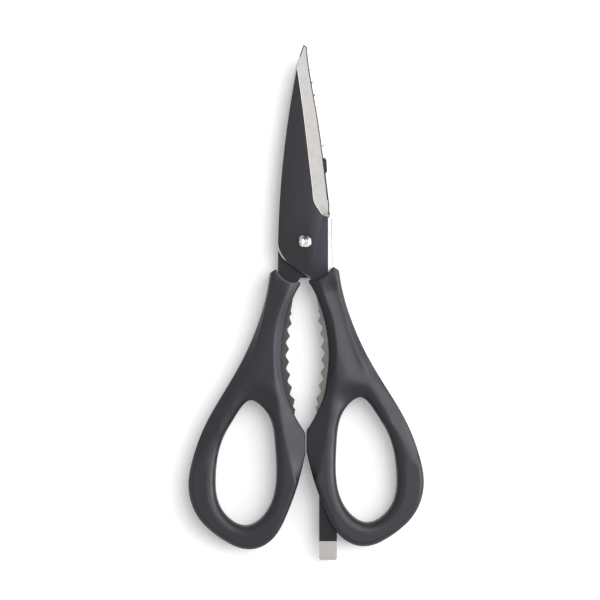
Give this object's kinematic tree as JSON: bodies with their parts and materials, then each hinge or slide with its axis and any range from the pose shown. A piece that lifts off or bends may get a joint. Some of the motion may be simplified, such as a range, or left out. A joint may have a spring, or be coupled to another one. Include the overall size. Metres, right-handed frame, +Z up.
{
  "type": "kitchen shears",
  "caption": "Kitchen shears with crossed dark steel blades on a rivet, moulded finger-loop handles, a toothed jaw between them, scaler teeth and a driver tip.",
  "frame": {"origin": "centre of the closed shears' footprint, on the plane the handles' undersides rest on", "axes": "+Y from the finger loops towards the blade tip, +X towards the handle that carries the driver tip, +Z up through the blades' faces"},
  "size_m": [0.0982, 0.215, 0.012],
  "materials": {
    "coated_steel": "dark coating with bare ground edges",
    "handle_plastic": "fine matte texture",
    "rivet_steel": "bright plated"
  },
  "bodies": {
    "back_half": {"back_blade": "coated_steel", "left_handle": "handle_plastic", "pivot_rivet": "rivet_steel", "rivet_washer": "rivet_steel"},
    "front_half": {"front_blade": "coated_steel", "right_handle": "handle_plastic"}
  },
  "joints": [
    {"name": "pivot", "type": "hinge", "parent": "back_half", "child": "front_half", "pos_m": [-0.00044, 0.0255, 0.0073], "axis": [0, 0, 1], "range_deg": [0, 70]}
  ]
}
